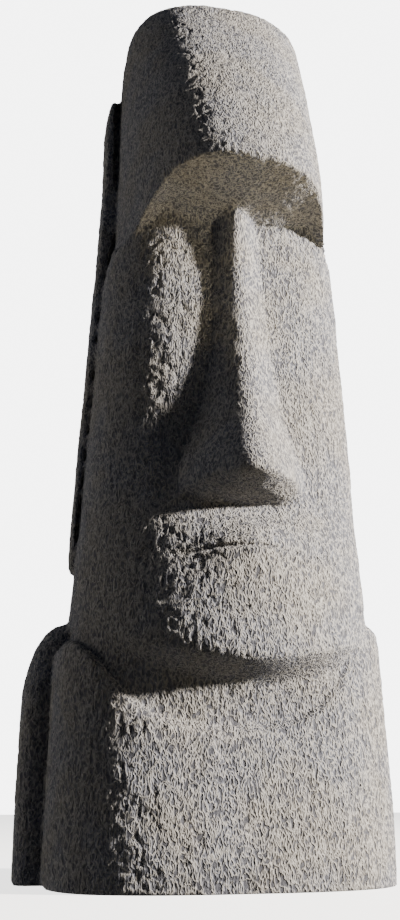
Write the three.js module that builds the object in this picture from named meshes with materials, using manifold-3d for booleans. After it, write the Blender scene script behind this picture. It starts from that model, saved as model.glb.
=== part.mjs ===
// A standing stone head: one casting, cut flat where it meets the ground.
// Sizes in millimetres. X runs across the statue, the face looks along -Y, Z is up.
import * as THREE from "three";
import { mergeVertices } from "three/addons/utils/BufferGeometryUtils.js";
import Module from "manifold-3d";

const wasm = await Module();
wasm.setup();

// Main heights above the ground.
const HEIGHT = 1800;
const BROW_Z = 1240;
const NOSE_FOOT_Z = 656;
const MOUTH_Z = 538;
const JAW_Z = 352;
const COLLAR_Z = 250;
const SHOULDER_Z = 456;

// Plan outlines are made of this many steps round the front and round the back.
const FRONT_STEPS = 40;
const BACK_STEPS = 16;

// The brow ledge: its edge hangs a little lower at the temples, its underside runs back to the face.
const BROW = { half: 208, front: 332, back: 217, wide: 60, square: 2.33, lean: -8 };
const BROW_LEVEL_WIDTH = 136;
const BROW_TEMPLE_DROP = 56;
const BROW_KEEL_WIDTH = 30;
const TEMPLE = { half: 226, front: 153, back: 219, wide: 36, square: 3.35, lean: 0 };
// Each ring from the face out to the brow's edge: how far out it is, how far below the edge, how
// much lower the keel down its middle is, and how far up the plain back of the head it runs.
const BROW_RINGS = [
  { out: 0.03, drop: 34, keel: 8, climb: 0.2 },
  { out: 0.2, drop: 23, keel: 10, climb: 0.4 },
  { out: 0.96, drop: 5, keel: 4, climb: 0.6 },
  { out: 1.0, drop: -1, keel: 0, climb: 0.8 },
];

// Mouth: a shallow frown with an overhanging upper lip.
const MOUTH_HALF_WIDTH = 128;
const MOUTH_SAG = 16;
const MOUTH_REACH_Z = 46;
const LIP_BULGE = 24;
const LIP_BULGE_WIDTH = 74;
const LIP_BULGE_HEIGHT = 48;
// Each ring at the mouth: how far above the lip line it runs, and how far it is pushed forward.
const MOUTH_RINGS = [
  [-30, 0],
  [-14, 1],
  [-7, -1],
  [-2, -9],
  [1, 1],
  [9, 2],
  [24, 0],
];

// The jaw's lower edge climbs from the chin to the sides, and a little more behind.
const JAW_RISE = 62;
const JAW_BACK_RISE = 26;
const JAW_BACK_SINK = 70;
const UNDER_JAW = { half: 268, front: 163, back: 228, wide: 72, square: 3.0 };
// Each ring round the jaw's edge: how far out it is, how far above the edge, and how much lower in front.
const JAW_RINGS = [
  { out: 0.0, lift: -4, dip: 30 },
  { out: 0.93, lift: -1, dip: 3 },
  { out: 0.985, lift: 3, dip: 0 },
  { out: 1.0, lift: 12, dip: 0 },
];

// Nose: its underside falls towards the face, and its wings droop at the sides.
const NOSE_UNDERSIDE_DROP = 28;
const NOSE_UNDERSIDE_BACK = 165;
const NOSE_WING_DROOP = 13;
const NOSE_WING_WIDTH = 62;
const NOSE_ROOT_DEPTH = 60;
const NOSE_SEAT_DEPTH = 26;
const NOSE_STEPS = 24;

// Ears: long slabs standing out from the sides of the head, with a groove down their front root.
const EAR_TOP_Z = 1680;
const EAR_FOOT_Z = 560;
const EAR_FRONT_Y = 95;
const EAR_BACK_Y = 174;
const EAR_FOOT_ROUND = 76;
const EAR_FOOT_SWEEP = 54;
const EAR_TOP_ROUND = 32;
const EAR_TOP_SWEEP = 14;
const EAR_STEPS = 26;
// Levels of an ear: the outer face, how wide its groove opens, and how deep the groove is.
const EAR_LEVELS = [
  { z: 560, outer: 279, gap: 9, deep: 20 },
  { z: 680, outer: 274, gap: 7, deep: 18 },
  { z: 830, outer: 266, gap: 5, deep: 18 },
  { z: 1060, outer: 254, gap: 5, deep: 18 },
  { z: 1290, outer: 241, gap: 5, deep: 18 },
  { z: 1420, outer: 236, gap: 6, deep: 22 },
  { z: 1500, outer: 235, gap: 11, deep: 34 },
  { z: 1600, outer: 234, gap: 14, deep: 38 },
  { z: 1680, outer: 230, gap: 14, deep: 38 },
];

// Arms hang straight down at the sides of the chest.
const ARM_FRONT_Y = 80;
const ARM_BACK_Y = 214;
const ARM_INNER_X = 180;
const ARM_OUTER_X = 353;
const ARM_EDGE_ROUND = 34;
const ARM_STRAIGHT_Z = 290;
const ARM_SHOULDER_ROUND = 74;
const ARM_SHOULDER_STEPS = 6;

// Levels of the head, from the foot of the neck to the crown. Each gives the height, the half width,
// the reach in front of and behind the axis, the Y where it is widest, and how square the front is.
const NECK_LEVELS = [
  { z: 120, half: 296, front: 140, back: 222, wide: 90, square: 3.1 },
  { z: 235, half: 296, front: 147, back: 224, wide: 90, square: 3.1 },
  { z: 285, half: 286, front: 153, back: 226, wide: 84, square: 3.1 },
];
const FACE_LEVELS = [
  { z: 400, half: 276, front: 228, back: 230, wide: 76, square: 2.2 },
  { z: 440, half: 275, front: 224, back: 231, wide: 72, square: 2.25 },
  { z: 488, half: 273, front: 217, back: 231, wide: 66, square: 2.3 },
];
const CHEEK_LEVELS = [
  { z: 580, half: 266, front: 189, back: 231, wide: 56, square: 2.5 },
  { z: 600, half: 265, front: 177, back: 231, wide: 54, square: 2.55 },
  { z: 622, half: 263, front: 167, back: 230, wide: 52, square: 2.65 },
  { z: 645, half: 261, front: 160, back: 230, wide: 50, square: 2.7 },
  { z: 670, half: 260, front: 157, back: 230, wide: 48, square: 2.8 },
  { z: 740, half: 256, front: 158, back: 229, wide: 42, square: 2.9 },
  { z: 840, half: 250, front: 162, back: 227, wide: 40, square: 2.9 },
  { z: 940, half: 244, front: 163, back: 225, wide: 40, square: 3.0 },
  { z: 1040, half: 240, front: 161, back: 223, wide: 40, square: 3.1 },
  { z: 1120, half: 235, front: 157, back: 221, wide: 38, square: 3.2 },
  { z: 1175, half: 231, front: 153, back: 219, wide: 36, square: 3.35 },
];
const FOREHEAD_LEVELS = [
  { z: 1300, half: 207, front: 310, back: 216, wide: 60, square: 2.55, lean: -9 },
  { z: 1380, half: 206, front: 284, back: 213, wide: 60, square: 2.65, lean: -10 },
  { z: 1480, half: 205, front: 247, back: 209, wide: 60, square: 2.7, lean: -10 },
  { z: 1580, half: 204, front: 207, back: 205, wide: 60, square: 2.7, lean: -9 },
  { z: 1670, half: 203, front: 169, back: 202, wide: 60, square: 2.7, lean: -9 },
];
const CROWN_ROUND = 58;
const CROWN = { half: 202, front: 137, back: 199, wide: 60, square: 2.6, lean: -9 };
const CROWN_TOP = { half: 70, front: 55, back: 70, wide: 0, square: 2 };
const CROWN_STEPS = 5;
const BACK_SQUARE = 4.4;

// Levels of the nose: height, how far the ridge reaches forward, half width where it meets the
// face, and how far the ridge stands off the middle.
const NOSE_LEVELS = [
  { z: 1262, ridge: 228, half: 44, lean: -14 },
  { z: 1200, ridge: 198, half: 54, lean: -11 },
  { z: 1100, ridge: 190, half: 63, lean: -7 },
  { z: 1000, ridge: 194, half: 70, lean: -3 },
  { z: 900, ridge: 204, half: 76, lean: -1 },
  { z: 830, ridge: 216, half: 83, lean: 0 },
  { z: 770, ridge: 232, half: 95, lean: 0 },
  { z: 720, ridge: 252, half: 111, lean: 0 },
  { z: 690, ridge: 268, half: 120, lean: 0 },
  { z: 668, ridge: 279, half: 124, lean: 0 },
];

// Levels of the chest, up to the collar.
const CHEST_LEVELS = [
  { rise: 0.0, half: 305, front: 176, back: 262 },
  { rise: 0.3, half: 305, front: 180, back: 262 },
  { rise: 0.65, half: 303, front: 176, back: 258 },
];
const CHEST = { half: 300, front: 168, back: 254, wide: 70, square: 2.9, lean: -6 };
const CHEST_TOP = { half: 150, front: 40, back: 150, wide: 60, square: 2 };
const COLLAR_ROUND = 20;
const COLLAR_MIDDLE_X = -25;
const COLLAR_CLIMB = 1.62;
const COLLAR_CURVE = 3.3;
const COLLAR_FILL = 60;
const SHOULDER_ROUND = 74;
const SHOULDER_BACK_RISE = 14;
const RIM_STEPS = 5;

const clamp01 = (v) => Math.min(1, Math.max(0, v));
const ease = (v) => clamp01(v) * clamp01(v) * (3 - 2 * clamp01(v));
const power = (v, exponent) => Math.sign(v) * Math.abs(v) ** exponent;

// Angles round a plan outline: 0 looks forward, 90 degrees is the +X side, 180 is the back.
function planAngles() {
  const angles = [];
  for (let i = 0; i < FRONT_STEPS; i += 1) {
    angles.push(-Math.PI / 2 + (Math.PI * i) / FRONT_STEPS);
  }
  for (let i = 0; i < BACK_STEPS; i += 1) {
    angles.push(Math.PI / 2 + (Math.PI * i) / BACK_STEPS);
  }
  return angles;
}

// One plan outline: a superellipse in front of the widest line and a squarer one behind it.
// heightAt and reachAt are asked at each point; forward runs from 1 in front to -1 behind.
function outline(level, heightAt, reachAt = () => 0) {
  return planAngles().map((angle) => {
    const forward = Math.cos(angle);
    const ahead = forward > 1e-9;
    const square = ahead ? level.square : BACK_SQUARE;
    const run = Math.abs(forward) ** (2 / square);
    const lean = ahead ? (level.lean ?? 0) * run : 0;
    const x = level.half * power(Math.sin(angle), 2 / square) + lean;
    const reach = ahead ? level.front + level.wide : level.back - level.wide;
    const y = level.wide + (ahead ? -1 : 1) * reach * run;
    const z = heightAt(x, forward);
    return new THREE.Vector3(x, y - reachAt(x, z) * Math.max(0, forward), z);
  });
}

// Joins rings of equal length into a closed body, with a fan over each end.
function loft(rings) {
  const count = rings[0].length;
  const points = rings.flat();
  const faces = [];
  for (let r = 0; r + 1 < rings.length; r += 1) {
    for (let i = 0; i < count; i += 1) {
      const j = (i + 1) % count;
      const a = r * count + i;
      const b = r * count + j;
      const c = a + count;
      const d = b + count;
      const leaning = points[a].distanceTo(points[d]) > points[b].distanceTo(points[c]) + 1e-6;
      faces.push(...(leaning ? [a, b, c, b, d, c] : [a, b, d, a, d, c]));
    }
  }
  const ends = [
    [0, true],
    [rings.length - 1, false],
  ];
  for (const [r, below] of ends) {
    const middle = new THREE.Vector3();
    rings[r].forEach((p) => middle.addScaledVector(p, 1 / count));
    const hub = points.push(middle) - 1;
    for (let i = 0; i < count; i += 1) {
      const a = r * count + i;
      const b = r * count + ((i + 1) % count);
      faces.push(...(below ? [hub, b, a] : [hub, a, b]));
    }
  }
  return solid(points, faces);
}

// Turns points and faces into a body that can be joined and cut.
function solid(points, faces) {
  const geometry = new THREE.BufferGeometry().setFromPoints(points);
  geometry.setIndex(faces);
  const welded = mergeVertices(geometry, 1e-4);
  return new wasm.Manifold(
    new wasm.Mesh({
      numProp: 3,
      vertProperties: new Float32Array(welded.attributes.position.array),
      triVerts: new Uint32Array(welded.index.array),
    }),
  );
}

// Height of the brow's edge: level across the front, lower towards the temples.
function browHeight(x) {
  const past = (Math.abs(x) - BROW_LEVEL_WIDTH) / (BROW.half - BROW_LEVEL_WIDTH);
  return BROW_Z - BROW_TEMPLE_DROP * ease(past);
}

// How far the brow's underside hangs: deep beside the nose, with a keel down its middle.
function browDrop(x, ring) {
  const middle = Math.exp(-Math.abs(x - BROW.lean) / BROW_KEEL_WIDTH);
  return ring.drop * (1 - 0.75 * ease((Math.abs(x) - 60) / 140)) + ring.keel * middle;
}

// Height of the jaw's edge: lowest at the chin, highest at the sides, sinking into the shoulders behind.
function jawHeight(x, forward) {
  const across = Math.abs(x) / FACE_LEVELS[0].half;
  const turned = JAW_BACK_RISE * (1 - Math.max(0, forward)) ** 2;
  const sunk = JAW_BACK_SINK * Math.max(0, -forward);
  return JAW_Z + JAW_RISE * across ** 1.6 + turned - sunk;
}

// Height of the line between the lips.
function mouthHeight(x) {
  return MOUTH_Z - MOUTH_SAG * Math.min(1, (x / MOUTH_HALF_WIDTH) ** 2);
}

// The lips push the face forward, and fade out to each side and above and below.
function lipReach(x, z) {
  const across = Math.exp(-((x / LIP_BULGE_WIDTH) ** 2));
  const upright = Math.exp(-(((z - MOUTH_Z) / LIP_BULGE_HEIGHT) ** 2));
  return LIP_BULGE * across * upright;
}

function mixLevels(a, b, share) {
  const out = {};
  for (const key of ["half", "front", "back", "wide", "square", "lean"]) {
    out[key] = (a[key] ?? 0) * (1 - share) + (b[key] ?? 0) * share;
  }
  return out;
}

// A level outline at its own height.
function flatRing(level) {
  return outline(level, () => level.z, lipReach);
}

// Underside of the jaw, its rounded edge, then the start of the chin's front.
function jawRings() {
  return JAW_RINGS.map(({ out, lift, dip }) =>
    outline(mixLevels(UNDER_JAW, FACE_LEVELS[0], out), (x, forward) => {
      return jawHeight(x, forward) + lift - dip * Math.max(0, forward);
    }),
  );
}

// Lower lip, the step under the upper lip, then the upper lip.
function mouthRings() {
  const below = FACE_LEVELS[FACE_LEVELS.length - 1];
  const above = CHEEK_LEVELS[0];
  const fade = (x) => 1 - ease(Math.abs(x) / MOUTH_HALF_WIDTH);
  return MOUTH_RINGS.map(([lift, push]) => {
    const share = (MOUTH_Z + lift - below.z) / (above.z - below.z);
    const sag = 1 - ease(Math.abs(lift) / MOUTH_REACH_Z);
    const height = (x) => MOUTH_Z + lift + sag * (mouthHeight(x) - MOUTH_Z);
    const reach = (x, z) => lipReach(x, z) + push * fade(x);
    return outline(mixLevels(below, above, share), height, reach);
  });
}

// The brow's underside and edge in front, which fade into the plain back of the head.
function browRings() {
  const below = CHEEK_LEVELS[CHEEK_LEVELS.length - 1].z;
  const above = FOREHEAD_LEVELS[0].z;
  return BROW_RINGS.map((ring) => {
    const behind = below + (above - below) * ring.climb;
    return outline(mixLevels(TEMPLE, BROW, ring.out), (x, forward) => {
      const edge = browHeight(x) - browDrop(x, ring);
      return behind + (edge - behind) * ease(forward / 0.2);
    });
  });
}

function crownRings() {
  const rings = [];
  for (let i = 0; i <= CROWN_STEPS; i += 1) {
    const turn = (i / CROWN_STEPS) * (Math.PI / 2) * 0.93;
    const inset = CROWN_ROUND * (1 - Math.cos(turn));
    const level = {
      ...CROWN,
      half: CROWN.half - inset * 0.55,
      front: CROWN.front - inset,
      back: CROWN.back - inset,
    };
    const z = HEIGHT - 4 - CROWN_ROUND * (1 - Math.sin(turn));
    rings.push(outline(level, () => z));
  }
  rings.push(outline(CROWN_TOP, () => HEIGHT));
  return rings;
}

// Head and neck as one run of outlines, from the foot of the neck to the crown.
function makeHead() {
  return loft([
    ...NECK_LEVELS.map(flatRing),
    ...jawRings(),
    ...FACE_LEVELS.slice(1).map(flatRing),
    ...mouthRings(),
    ...CHEEK_LEVELS.map(flatRing),
    ...browRings(),
    ...FOREHEAD_LEVELS.map(flatRing),
    ...crownRings(),
  ]);
}

// A value named key, read off a run of levels at a height.
function readLevels(levels, z, key) {
  for (let i = 0; i + 1 < levels.length; i += 1) {
    const low = levels[i];
    const high = levels[i + 1];
    if (z <= high.z) {
      return low[key] + (high[key] - low[key]) * clamp01((z - low.z) / (high.z - low.z));
    }
  }
  return levels[levels.length - 1][key];
}

// One slice of the nose: a rounded ridge with sides that spread to the cheeks.
function noseRing(level, heightAt) {
  const foot = readLevels(CHEEK_LEVELS, level.z, "front") - NOSE_SEAT_DEPTH;
  const rise = level.ridge - foot;
  const softness = 0.09;
  const points = [];
  for (let i = 0; i <= NOSE_STEPS; i += 1) {
    const across = -1 + (2 * i) / NOSE_STEPS;
    const bend = Math.hypot(across, softness) - softness;
    const slope = (bend / (Math.hypot(1, softness) - softness)) ** 1.4;
    const x = 1.06 * level.half * across + level.lean * (1 - slope);
    const y = -(foot + rise * (1 - slope));
    points.push(new THREE.Vector3(x, y, heightAt(x, y)));
  }
  for (const side of [1, -1]) {
    const x = side * 0.8 * level.half;
    points.push(new THREE.Vector3(x, NOSE_ROOT_DEPTH - foot, heightAt(x, -foot)));
  }
  return points;
}

function makeNose() {
  const last = NOSE_LEVELS[NOSE_LEVELS.length - 1];
  const droop = (x) => NOSE_WING_DROOP * ease((Math.abs(x) - NOSE_WING_WIDTH) / NOSE_WING_WIDTH);
  const edge = (x) => NOSE_FOOT_Z + 3 - droop(x);
  const underside = (share) => (x, y) => {
    const back = clamp01((last.ridge + y) / (last.ridge - NOSE_UNDERSIDE_BACK));
    return edge(x) - 7 - share * NOSE_UNDERSIDE_DROP * Math.sin((back * Math.PI) / 2);
  };
  return loft([
    noseRing({ ...last, ridge: 178, half: 52 }, underside(1)),
    noseRing({ ...last, ridge: 232, half: 96 }, underside(0.8)),
    noseRing({ ...last, ridge: last.ridge - 4, half: last.half - 4 }, underside(0)),
    noseRing({ ...last, ridge: last.ridge + 1 }, edge),
    ...[...NOSE_LEVELS].reverse().slice(1).map((level) => noseRing(level, () => level.z)),
  ]);
}

// A rectangle in plan with rounded corners, from x0 to x1 and y0 to y1.
function roundedBox(x0, x1, y0, y1, radius, z, steps = 4) {
  const corners = [
    [x1 - radius, y0 + radius, -Math.PI / 2],
    [x1 - radius, y1 - radius, 0],
    [x0 + radius, y1 - radius, Math.PI / 2],
    [x0 + radius, y0 + radius, Math.PI],
  ];
  const points = [];
  for (const [cx, cy, start] of corners) {
    for (let i = 0; i <= steps; i += 1) {
      const a = start + (i / steps) * (Math.PI / 2);
      points.push(new THREE.Vector3(cx + radius * Math.cos(a), cy + radius * Math.sin(a), z));
    }
  }
  return points;
}

// One ear on the +X side: a slab with rounded ends, swept back at the foot and grooved at its root.
function makeEar() {
  const head = [...FACE_LEVELS, ...CHEEK_LEVELS, ...FOREHEAD_LEVELS];
  const round = (share) => Math.sqrt(1 - (1 - clamp01(share)) ** 2);
  const slab = [];
  const groove = [];
  for (let i = 0; i <= EAR_STEPS; i += 1) {
    const share = (1 - Math.cos((i / EAR_STEPS) * Math.PI)) / 2;
    const z = EAR_FOOT_Z + (EAR_TOP_Z - EAR_FOOT_Z) * share;
    const foot = round((z - EAR_FOOT_Z) / EAR_FOOT_ROUND);
    const top = round((EAR_TOP_Z - z) / EAR_TOP_ROUND);
    const side = readLevels(head, z, "half");
    const stand = readLevels(EAR_LEVELS, z, "outer") - side;
    const outer = side + stand * (0.35 + 0.65 * Math.min(foot, top));
    const front = EAR_FRONT_Y + EAR_FOOT_SWEEP * (1 - foot) + EAR_TOP_SWEEP * (1 - top);
    slab.push(roundedBox(side - 24, outer, front, EAR_BACK_Y, 9, z, 2));
    const open = side + Math.min(readLevels(EAR_LEVELS, z, "gap"), outer - side - 6);
    const end = front + readLevels(EAR_LEVELS, z, "deep") * Math.min(foot, top) + 2;
    groove.push([
      new THREE.Vector3(side - 40, front - 12, z),
      new THREE.Vector3(open + 1.5, front - 12, z),
      new THREE.Vector3(open - 1.5, end, z),
      new THREE.Vector3(side - 40, end, z),
    ]);
  }
  return loft(slab).subtract(loft(groove));
}

// Height of the chest's rim: low in front of the neck, high at the shoulders and behind.
function rimHeight(x, forward) {
  if (forward < 0) {
    return SHOULDER_Z - SHOULDER_BACK_RISE * forward;
  }
  const climb = COLLAR_CLIMB * (Math.abs(x - COLLAR_MIDDLE_X) / CHEST.half) ** COLLAR_CURVE;
  return COLLAR_Z + (SHOULDER_Z - COLLAR_Z) * Math.min(1, (1.035 * climb) / (1 + climb ** 4) ** 0.25);
}

// How far the chest's edge is rounded: tight at the collar, full at the shoulders.
function rimRound(forward) {
  return COLLAR_ROUND + (SHOULDER_ROUND - COLLAR_ROUND) * ease(1 - Math.max(0, forward));
}

function makeChest() {
  const forwards = planAngles().map(Math.cos);
  const rings = CHEST_LEVELS.map((level) =>
    outline({ ...CHEST, ...level }, (x, forward) => level.rise * (rimHeight(x, forward) - 60)),
  );
  const edge = outline(CHEST, () => 0);
  for (let i = 0; i <= RIM_STEPS; i += 1) {
    const turn = ((i / RIM_STEPS) * Math.PI) / 2;
    const ring = edge.map((point, k) => {
      const round = rimRound(forwards[k]);
      const away = new THREE.Vector2(point.x, point.y - CHEST.wide);
      away.multiplyScalar(1 - (round * (1 - Math.cos(turn))) / away.length());
      const z = rimHeight(away.x, forwards[k]) - round * (1 - Math.sin(turn));
      return new THREE.Vector3(away.x, CHEST.wide + away.y, z);
    });
    rings.push(ring);
  }
  const spread = CHEST.half / CHEST_TOP.half;
  rings.push(outline(CHEST_TOP, (x, forward) => rimHeight(x * spread, forward) + COLLAR_FILL));
  return loft(rings);
}

// One arm on the +X side, rounded over the shoulder.
function makeArm() {
  const ring = (inset, z) => {
    const front = ARM_FRONT_Y + 0.45 * inset;
    const back = ARM_BACK_Y - 0.2 * inset;
    return roundedBox(ARM_INNER_X, ARM_OUTER_X - inset, front, back, ARM_EDGE_ROUND, z);
  };
  const rings = [ring(0, 0), ring(0, ARM_STRAIGHT_Z)];
  for (let i = 1; i <= ARM_SHOULDER_STEPS; i += 1) {
    const turn = ((i / ARM_SHOULDER_STEPS) * Math.PI) / 2;
    const z = ARM_STRAIGHT_Z + (SHOULDER_Z - ARM_STRAIGHT_Z) * Math.sin(turn);
    rings.push(ring(ARM_SHOULDER_ROUND * (1 - Math.cos(turn)), z));
  }
  return loft(rings);
}

function join(bodies) {
  return bodies.reduce((all, body) => all.add(body));
}

function toMesh(name, body, material) {
  const found = body.getMesh();
  const geometry = new THREE.BufferGeometry();
  geometry.setAttribute("position", new THREE.BufferAttribute(found.vertProperties, 3));
  geometry.setIndex(new THREE.BufferAttribute(found.triVerts, 1));
  geometry.computeBoundingBox();
  const box = geometry.boundingBox;
  geometry.translate(0, -(box.min.y + box.max.y) / 2, -box.min.z);
  geometry.computeVertexNormals();
  const mesh = new THREE.Mesh(geometry, material);
  mesh.name = name;
  return mesh;
}

const mirror = (body) => body.mirror([1, 0, 0]);
const ear = makeEar();
const arm = makeArm();
const statue = join([makeHead(), makeNose(), ear, mirror(ear), makeChest(), arm, mirror(arm)]);

const stone = new THREE.MeshStandardMaterial({ color: 0x5c5b5e, roughness: 0.92, metalness: 0 });
const part = new THREE.Group();
part.add(toMesh("moai", statue, stone));
export default part;
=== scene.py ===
import itertools
import math
import bpy
import numpy as np
from mathutils import Matrix, Vector


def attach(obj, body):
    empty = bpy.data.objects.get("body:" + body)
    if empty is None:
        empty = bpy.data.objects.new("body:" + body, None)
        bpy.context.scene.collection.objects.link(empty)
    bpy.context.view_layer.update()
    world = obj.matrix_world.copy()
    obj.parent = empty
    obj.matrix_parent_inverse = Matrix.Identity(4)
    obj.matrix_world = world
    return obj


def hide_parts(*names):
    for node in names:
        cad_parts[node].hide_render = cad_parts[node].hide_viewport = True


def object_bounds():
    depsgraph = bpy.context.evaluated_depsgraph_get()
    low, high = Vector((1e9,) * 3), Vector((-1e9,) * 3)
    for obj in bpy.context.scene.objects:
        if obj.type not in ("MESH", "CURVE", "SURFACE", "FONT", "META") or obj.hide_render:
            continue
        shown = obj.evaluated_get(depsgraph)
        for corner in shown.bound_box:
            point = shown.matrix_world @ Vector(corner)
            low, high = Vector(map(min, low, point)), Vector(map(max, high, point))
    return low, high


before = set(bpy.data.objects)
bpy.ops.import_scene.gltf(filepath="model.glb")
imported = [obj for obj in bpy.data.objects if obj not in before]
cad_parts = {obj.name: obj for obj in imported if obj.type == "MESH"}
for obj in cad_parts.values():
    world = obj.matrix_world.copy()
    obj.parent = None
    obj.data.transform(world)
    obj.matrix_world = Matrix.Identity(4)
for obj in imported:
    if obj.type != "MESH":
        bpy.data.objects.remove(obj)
cad_low, cad_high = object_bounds()
HEIGHT = cad_high.z - cad_low.z
HALF_WIDTH = (cad_high.x - cad_low.x) / 2
FRONT = cad_low.y

# Heights and places on the statue.
BROW_Z = 0.689 * HEIGHT
NOSE_FOOT_Z = 0.364 * HEIGHT
MOUTH_Z = 0.299 * HEIGHT
MOUTH_HALF_WIDTH = 0.37 * HALF_WIDTH
MOUTH_SAG = 0.0089 * HEIGHT
JAW_Z = 0.1955 * HEIGHT
FACE_Y = FRONT + 0.17
NOSE_HALF_WIDTH = 0.4 * HALF_WIDTH

# The skin, in metres.
VOXEL = 0.0034
SKIN_TRIANGLES = 194000
FACET_PASSES = 55
FACET_LIMIT = 0.0011

# The lattice noise.
SEED = 41
SLOPE_COUNT = 4096
NOISE_GAIN = 1.6

# The relief: the width of each pattern and how high it stands, in metres.
WORM_STRETCH = (1, 1, 0.58)
WORM_WIDTH = 0.0115
WORM_SHARPNESS = 2.4
WORM_LIFT = 0.0022
WORM_LEVEL = 0.45
BEND_WIDTH = 0.019
BEND_SHARE = 0.55
LUMP_WIDTH = 0.042
LUMP_LIFT = 0.0012
SWELL_WIDTH = 0.17
SWELL_LIFT = 0.0016
FOOT_FADE = 0.012

# Where the relief is weaker: on the nose, and below the jaw where the surface looks down.
NOSE_SMOOTHING = 0.6
JAW_SMOOTHING = 0.75
SMOOTH_FADE = 0.03
NOSE_FOOT_FADE = 0.02
UNDER_TILT = 0.45
UNDER_TILT_FADE = 0.3
UNDER_JAW_REACH = 0.1

# The mouth: each line's drop below the lips' line, its width, and its depth or lift.
GROOVE_WIDTH, GROOVE_DEPTH = 0.0032, 0.006
RIDGE_DROP, RIDGE_WIDTH, RIDGE_LIFT = 0.009, 0.0045, 0.003
FOLD_DROP, FOLD_WIDTH, FOLD_DEPTH = 0.019, 0.003, 0.0025
FOLD_START_X, FOLD_FADE = 0.01, 0.05
MOUTH_BEHIND = 0.05
MOUTH_END, MOUTH_END_FADE = 1.15, 0.35
MOUTH_SAG_LIMIT = 1.4

# The stone's colours.
STONE_COOL = (0.118, 0.122, 0.142, 1)
STONE_WARM = (0.158, 0.145, 0.128, 1)
# Painted shade for the pits between the crests.
STONE_PAINTED_PIT_SHADE = (0.048, 0.049, 0.060, 1)
# Painted highlight for the tops of the crests.
STONE_PAINTED_CREST_HIGHLIGHT = (0.30, 0.285, 0.262, 1)
STONE_SPECK = (0.24, 0.235, 0.225, 1)
SPECK_SHARE = 0.2

# The stone's patterns: scales per metre, and heights in metres.
STONE_STRETCH = (1, 1, 0.5)
STONE_BEND_SCALE = 70.0
STONE_BEND_PULL = 0.007
STONE_WORM_SCALE = 165.0
STONE_GRIT_SCALE = 330.0
STONE_PATCH_SCALE = 7.0
STONE_CREST_SHARPNESS = 6.5
CREST_BUMP = 0.0021
GRIT_BUMP = 0.0009
STONE_ROUGHNESS = 0.93
STONE_SPECULAR = 0.25


# Smooth lattice noise, about -1 to 1, at points given in cells.
def noise(points, seed):
    draw = np.random.default_rng(SEED + seed)
    slopes = draw.normal(size=(SLOPE_COUNT, 3))
    slopes /= np.linalg.norm(slopes, axis=1)[:, None]
    cell = np.floor(points).astype(np.int64)
    inside = points - cell
    blend = inside ** 3 * (inside * (inside * 6 - 15) + 10)
    total = np.zeros(len(points))
    for corner in itertools.product((0, 1), repeat=3):
        at = cell + corner
        mixed = (at[:, 0] * 73856093) ^ (at[:, 1] * 19349663) ^ (at[:, 2] * 83492791)
        slope = slopes[mixed & (SLOPE_COUNT - 1)]
        weight = np.ones(len(points))
        for axis in range(3):
            weight *= blend[:, axis] if corner[axis] else 1 - blend[:, axis]
        total += weight * np.einsum("ij,ij->i", slope, inside - corner)
    return total * NOISE_GAIN


def ease(values):
    held = np.clip(values, 0, 1)
    return held * held * (3 - 2 * held)


# A copy of the CAD solid with an even skin of small quads.
def make_skin(source, name):
    piece = bpy.data.objects.new(name, source.data.copy())
    bpy.context.scene.collection.objects.link(piece)
    remesh = piece.modifiers.new("even skin", "REMESH")
    remesh.mode = "VOXEL"
    remesh.voxel_size = VOXEL
    bake_modifiers(piece)
    return piece


def bake_modifiers(piece):
    bpy.context.view_layer.update()
    found = piece.evaluated_get(bpy.context.evaluated_depsgraph_get())
    mesh = bpy.data.meshes.new_from_object(found)
    old = piece.data
    piece.modifiers.clear()
    piece.data = mesh
    bpy.data.meshes.remove(old)


# Each vertex's place ("co") or direction ("normal"), a row each.
def read_vertices(mesh, what):
    flat = np.zeros(len(mesh.vertices) * 3, np.float32)
    mesh.vertices.foreach_get(what, flat)
    return flat.reshape(-1, 3).astype(float)


def write_points(mesh, points):
    mesh.vertices.foreach_set("co", points.astype(np.float32).ravel())
    mesh.update()


# Averages each point with its neighbours.
def relax(points, edges, passes):
    one, two = edges[:, 0], edges[:, 1]
    count = len(points)
    degree = np.bincount(one, minlength=count) + np.bincount(two, minlength=count)
    for _ in range(passes):
        near = np.empty_like(points)
        for axis in range(3):
            column = points[:, axis]
            near[:, axis] = np.bincount(one, weights=column[two], minlength=count)
            near[:, axis] += np.bincount(two, weights=column[one], minlength=count)
        points = 0.5 * points + 0.5 * near / degree[:, None]
    return points


# Rounds away the solid's flat facets, moving no point further than FACET_LIMIT and leaving
# the underside flat, then evens the result once.
def soften_facets(mesh):
    flat = np.zeros(len(mesh.edges) * 2, np.int32)
    mesh.edges.foreach_get("vertices", flat)
    edges = flat.reshape(-1, 2)
    points = read_vertices(mesh, "co")
    move = relax(points, edges, FACET_PASSES) - points
    length = np.linalg.norm(move, axis=1)
    kept = np.minimum(1, FACET_LIMIT / np.maximum(length, 1e-9))
    kept[points[:, 2] < VOXEL] = 0
    write_points(mesh, relax(points + move * kept[:, None], edges, 1))


# How rough each point is, 1 where the relief is at its full height.
def roughness_at(points, normals):
    x, y, z = points.T
    on_nose = ease((NOSE_HALF_WIDTH - np.abs(x)) / SMOOTH_FADE)
    on_nose *= ease((FACE_Y - y) / SMOOTH_FADE)
    on_nose *= ease((BROW_Z - SMOOTH_FADE - z) / SMOOTH_FADE)
    on_nose *= ease((z - NOSE_FOOT_Z + SMOOTH_FADE) / NOSE_FOOT_FADE)
    under_jaw = ease((-normals[:, 2] - UNDER_TILT) / UNDER_TILT_FADE)
    under_jaw *= ease((JAW_Z + UNDER_JAW_REACH - z) / SMOOTH_FADE)
    return 1 - NOSE_SMOOTHING * on_nose - JAW_SMOOTHING * under_jaw


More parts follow.
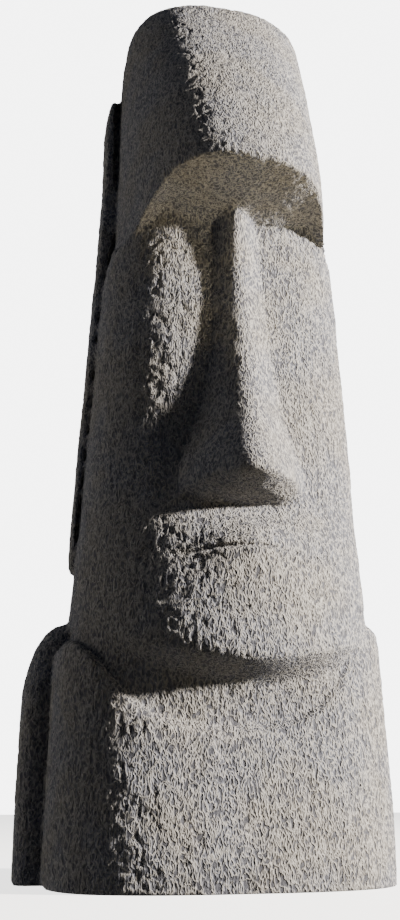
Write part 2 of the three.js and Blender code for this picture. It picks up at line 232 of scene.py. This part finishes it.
# The rough surface: worm-like crests over soft lumps and a wide swell.
def relief_at(points):
    tall = points * WORM_STRETCH
    bend = np.stack([noise(tall / BEND_WIDTH, seed) for seed in (1, 2, 3)], axis=1)
    worms = noise(tall / WORM_WIDTH + BEND_SHARE * bend, 4)
    crest = 1 - np.minimum(1, np.abs(worms) * WORM_SHARPNESS)
    lumps = noise(points / LUMP_WIDTH, 5)
    swell = noise(points / SWELL_WIDTH, 6)
    return crest, lumps, swell


def stripe(above, drop, width):
    return np.exp(-(((above + drop) / width) ** 2))


# The groove between the lips, the ridge just below it and the short fold under that.
def mouth_at(points):
    x, y, z = points.T
    share = np.abs(x) / MOUTH_HALF_WIDTH
    above = z - (MOUTH_Z - MOUTH_SAG * np.minimum(MOUTH_SAG_LIMIT, share ** 2))
    fade = ease((MOUTH_END - share) / MOUTH_END_FADE) * (y < FACE_Y + MOUTH_BEHIND)
    groove = stripe(above, 0, GROOVE_WIDTH)
    ridge = stripe(above, RIDGE_DROP, RIDGE_WIDTH)
    fold = stripe(above, FOLD_DROP, FOLD_WIDTH) * ease((x - FOLD_START_X) / FOLD_FADE)
    return fade * (-GROOVE_DEPTH * groove + RIDGE_LIFT * ridge - FOLD_DEPTH * fold)


def carve(mesh):
    points = read_vertices(mesh, "co")
    normals = read_vertices(mesh, "normal")
    rough = roughness_at(points, normals)
    crest, lumps, swell = relief_at(points)
    lift = rough * (WORM_LIFT * (crest - WORM_LEVEL) + LUMP_LIFT * lumps) + SWELL_LIFT * swell
    lift += mouth_at(points)
    lift *= ease(points[:, 2] / FOOT_FADE)
    points += normals * lift[:, None]
    points[:, 2] = np.maximum(points[:, 2], 0)
    write_points(mesh, points)


def thin_out(piece):
    collapse = piece.modifiers.new("fewer faces", "DECIMATE")
    triangles = len(piece.data.polygons) * 2
    collapse.ratio = min(1, SKIN_TRIANGLES / triangles)
    collapse.use_collapse_triangulate = True
    bake_modifiers(piece)


class Nodes:
    """Adds shader nodes to a material and joins them."""

    def __init__(self, name):
        self.material = bpy.data.materials.new(name)
        self.material.use_nodes = True
        self.tree = self.material.node_tree
        self.tree.nodes.clear()

    def add(self, kind, **values):
        node = self.tree.nodes.new(kind)
        for key, value in values.items():
            if key in node.inputs:
                self.feed(node.inputs[key], value)
            else:
                setattr(node, key, value)
        return node

    def feed(self, socket, value):
        if isinstance(value, bpy.types.NodeSocket):
            self.tree.links.new(value, socket)
        else:
            socket.default_value = value

    def math(self, operation, one, two=0.0, clamp=False):
        node = self.tree.nodes.new("ShaderNodeMath")
        node.operation = operation
        node.use_clamp = clamp
        self.feed(node.inputs[0], one)
        self.feed(node.inputs[1], two)
        return node.outputs[0]

    def mix(self, share, one, two):
        node = self.tree.nodes.new("ShaderNodeMix")
        node.data_type = "RGBA"
        self.feed(node.inputs["Factor"], share)
        self.feed(node.inputs[6], one)
        self.feed(node.inputs[7], two)
        return node.outputs[2]

    def ramp(self, value, low, high):
        node = self.tree.nodes.new("ShaderNodeMapRange")
        node.interpolation_type = "SMOOTHSTEP"
        self.feed(node.inputs["Value"], value)
        self.feed(node.inputs["From Min"], low)
        self.feed(node.inputs["From Max"], high)
        return node.outputs["Result"]

    def noise(self, place, scale, detail, roughness=0.5):
        return self.add(
            "ShaderNodeTexNoise", Vector=place, Scale=scale, Detail=detail, Roughness=roughness
        )

    def surface(self, shader):
        out = self.add("ShaderNodeOutputMaterial")
        self.feed(out.inputs["Surface"], shader.outputs[0])
        return self.material


def stone_material():
    n = Nodes("stone")
    place = n.add("ShaderNodeTexCoord").outputs["Object"]
    tall = n.add("ShaderNodeMapping", Vector=place, Scale=STONE_STRETCH).outputs["Vector"]

    # Worm-like crests, bent by a wider noise.
    bend = n.noise(tall, STONE_BEND_SCALE, 1.0)
    pull = n.add("ShaderNodeVectorMath", operation="SCALE", Scale=STONE_BEND_PULL)
    n.feed(pull.inputs[0], bend.outputs["Color"])
    moved = n.add("ShaderNodeVectorMath", operation="ADD")
    n.feed(moved.inputs[0], tall)
    n.feed(moved.inputs[1], pull.outputs[0])
    worms = n.noise(moved.outputs[0], STONE_WORM_SCALE, 1.5)
    away = n.math("ABSOLUTE", n.math("SUBTRACT", worms.outputs["Fac"], 0.5))
    crest = n.math("SUBTRACT", 1.0, n.math("MULTIPLY", away, STONE_CREST_SHARPNESS, True))
    grit = n.noise(place, STONE_GRIT_SCALE, 4.0, 0.6)

    # Colour: cool grey with warmer patches, painted shade in pits, painted highlights on crests, pale
    # specks.
    patch = n.noise(place, STONE_PATCH_SCALE, 3.0, 0.55)
    body = n.mix(n.ramp(patch.outputs["Fac"], 0.4, 0.62), STONE_COOL, STONE_WARM)
    # Painted shade: the colour darkens into the pits between the crests.
    body_with_pit_shade = n.mix(n.ramp(crest, -0.1, 0.5), STONE_PAINTED_PIT_SHADE, body)
    # Painted highlight: the colour lightens along the tops of the crests.
    light = n.mix(n.ramp(crest, 0.5, 1.0), body_with_pit_shade, STONE_PAINTED_CREST_HIGHLIGHT)
    speck = n.ramp(grit.outputs["Fac"], 0.35, 0.7)
    colour = n.mix(n.math("MULTIPLY", speck, SPECK_SHARE), light, STONE_SPECK)

    crest_height = n.math("MULTIPLY", crest, CREST_BUMP)
    grit_height = n.math("MULTIPLY", grit.outputs["Fac"], GRIT_BUMP)
    height = n.math("ADD", crest_height, grit_height)
    bump = n.add("ShaderNodeBump", Strength=1.0, Distance=1.0, Height=height).outputs["Normal"]
    shader = n.add("ShaderNodeBsdfPrincipled", Roughness=STONE_ROUGHNESS, Normal=bump)
    n.feed(shader.inputs["Base Color"], colour)
    n.feed(shader.inputs["Specular IOR Level"], STONE_SPECULAR)
    return n.surface(shader)


def make_statue():
    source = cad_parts["moai"]
    piece = make_skin(source, "statue")
    soften_facets(piece.data)
    carve(piece.data)
    thin_out(piece)
    piece.data.shade_smooth()
    piece.data.materials.clear()
    piece.data.materials.append(stone_material())
    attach(piece, "root")
    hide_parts("moai")


# ---- Floor, light and camera: places in metres, powers in watts ----
FLOOR_SIZE = 40.0
FLOOR_COLOUR = (0.82, 0.81, 0.79, 1)
FLOOR_ROUGHNESS = 0.9
FLOOR_GLOW_COLOUR = (1.0, 0.99, 0.97, 1)
FLOOR_GLOW = 2.4

KEY_AZIMUTH = math.radians(62)
KEY_ELEVATION = math.radians(12)
KEY_DISTANCE = 7.0
KEY_SIZE = 0.55
KEY_POWER = 3400.0
KEY_COLOUR = (1.0, 0.94, 0.87)

SIDE_PLACE = (-3.4, 0.9, 1.3)
SIDE_SIZE = 1.6
SIDE_POWER = 26.0
SIDE_COLOUR = (1.0, 0.96, 0.92)

SKY_PLACE = (-1.5, -2.5, 5.5)
SKY_SIZE = 3.0
SKY_POWER = 12.0
SKY_COLOUR = (0.4, 0.55, 1.0)

BOUNCE_PLACE = (0.75, -0.85, 0.04)
BOUNCE_TARGET = (0, -0.2, 1.2)
BOUNCE_SIZE = 0.5
BOUNCE_POWER = 3.0
BOUNCE_COLOUR = (1.0, 0.88, 0.62)

BROW_LIGHT_PLACE = (0.3, FRONT - 0.33, 0.1)
BROW_LIGHT_TARGET = (0, FRONT + 0.08, BROW_Z)
BROW_LIGHT_ANGLE = math.radians(27)
BROW_LIGHT_BLEND = 0.6
BROW_LIGHT_SIZE = 0.05
BROW_LIGHT_POWER = 42.0
BROW_LIGHT_COLOUR = (1.0, 0.87, 0.6)

WORLD_SEEN_COLOUR = (1, 1, 1, 1)
WORLD_SEEN_STRENGTH = 6.0
WORLD_CAST_COLOUR = (0.62, 0.74, 1.0, 1)
WORLD_CAST_STRENGTH = 0.012

CAMERA_AZIMUTH = math.radians(13.8)
CAMERA_DISTANCE = 1.78
CAMERA_HEIGHT = 0.125
CAMERA_AXIS_Y = 0.035
CAMERA_HEADING = math.radians(-12.487)
CAMERA_PITCH = math.radians(19.8)
CAMERA_ROLL = math.radians(-0.25)
CAMERA_LENS = 37.76
CAMERA_SENSOR = 36


# A pale floor that the camera sees and that lights nothing.
def make_floor():
    half = FLOOR_SIZE / 2
    mesh = bpy.data.meshes.new("floor")
    corners = [(-half, -half, 0), (half, -half, 0), (half, half, 0), (-half, half, 0)]
    mesh.from_pydata(corners, [], [(0, 1, 2, 3)])
    floor = bpy.data.objects.new("floor", mesh)
    bpy.context.scene.collection.objects.link(floor)
    n = Nodes("pale floor")
    shader = n.add("ShaderNodeBsdfPrincipled", Roughness=FLOOR_ROUGHNESS)
    n.feed(shader.inputs["Base Color"], FLOOR_COLOUR)
    n.feed(shader.inputs["Emission Color"], FLOOR_GLOW_COLOUR)
    n.feed(shader.inputs["Emission Strength"], FLOOR_GLOW)
    n.surface(shader)
    n.material.cycles.emission_sampling = "NONE"
    mesh.materials.append(n.material)
    floor.visible_diffuse = False


# The direction whose azimuth is measured from the front (-Y) towards +X.
def toward_front(azimuth, elevation):
    return Vector((
        math.sin(azimuth) * math.cos(elevation),
        -math.cos(azimuth) * math.cos(elevation),
        math.sin(elevation),
    ))


def add_light(name, kind, place, target, power, colour):
    data = bpy.data.lights.new(name, kind)
    data.energy = power
    data.color = colour
    lamp = bpy.data.objects.new(name, data)
    lamp.location = place
    lamp.rotation_euler = (Vector(target) - Vector(place)).to_track_quat("-Z", "Y").to_euler()
    bpy.context.scene.collection.objects.link(lamp)
    return data


def area_light(name, place, target, size, power, colour):
    data = add_light(name, "AREA", place, target, power, colour)
    data.shape = "DISK"
    data.size = size


# A narrow warm light from near the ground onto the brow's underside.
def brow_light():
    data = add_light(
        "brow bounce", "SPOT", BROW_LIGHT_PLACE, BROW_LIGHT_TARGET, BROW_LIGHT_POWER, BROW_LIGHT_COLOUR
    )
    data.spot_size = BROW_LIGHT_ANGLE
    data.spot_blend = BROW_LIGHT_BLEND
    data.shadow_soft_size = BROW_LIGHT_SIZE


def make_lights():
    middle = Vector((0, 0, HEIGHT / 2))
    key_place = middle + toward_front(KEY_AZIMUTH, KEY_ELEVATION) * KEY_DISTANCE
    area_light("key", key_place, middle, KEY_SIZE, KEY_POWER, KEY_COLOUR)
    area_light("side", SIDE_PLACE, middle, SIDE_SIZE, SIDE_POWER, SIDE_COLOUR)
    area_light("sky", SKY_PLACE, middle, SKY_SIZE, SKY_POWER, SKY_COLOUR)
    area_light("bounce", BOUNCE_PLACE, BOUNCE_TARGET, BOUNCE_SIZE, BOUNCE_POWER, BOUNCE_COLOUR)
    brow_light()


def background(tree, colour, strength):
    node = tree.nodes.new("ShaderNodeBackground")
    node.inputs["Color"].default_value = colour
    node.inputs["Strength"].default_value = strength
    return node.outputs[0]


# White behind the statue as the camera sees it, and a faint blue light as the statue does.
def make_world():
    world = bpy.data.worlds.new("studio")
    bpy.context.scene.world = world
    world.use_nodes = True
    tree = world.node_tree
    tree.nodes.clear()
    seen = background(tree, WORLD_SEEN_COLOUR, WORLD_SEEN_STRENGTH)
    cast = background(tree, WORLD_CAST_COLOUR, WORLD_CAST_STRENGTH)
    path = tree.nodes.new("ShaderNodeLightPath")
    pick = tree.nodes.new("ShaderNodeMixShader")
    out = tree.nodes.new("ShaderNodeOutputWorld")
    tree.links.new(path.outputs["Is Camera Ray"], pick.inputs[0])
    tree.links.new(cast, pick.inputs[1])
    tree.links.new(seen, pick.inputs[2])
    tree.links.new(pick.outputs[0], out.inputs["Surface"])


def make_camera():
    data = bpy.data.cameras.new("camera")
    data.lens = CAMERA_LENS
    data.sensor_width = CAMERA_SENSOR
    camera = bpy.data.objects.new("camera", data)
    camera.location = (
        -math.sin(CAMERA_AZIMUTH) * CAMERA_DISTANCE,
        CAMERA_AXIS_Y - math.cos(CAMERA_AZIMUTH) * CAMERA_DISTANCE,
        CAMERA_HEIGHT,
    )
    ahead = Vector((
        -math.sin(CAMERA_HEADING) * math.cos(CAMERA_PITCH),
        math.cos(CAMERA_HEADING) * math.cos(CAMERA_PITCH),
        math.sin(CAMERA_PITCH),
    ))
    aim = ahead.to_track_quat("-Z", "Y").to_matrix() @ Matrix.Rotation(CAMERA_ROLL, 3, "Z")
    camera.rotation_euler = aim.to_euler()
    bpy.context.scene.collection.objects.link(camera)
    bpy.context.scene.camera = camera


make_statue()
make_floor()
make_lights()
make_world()
make_camera()
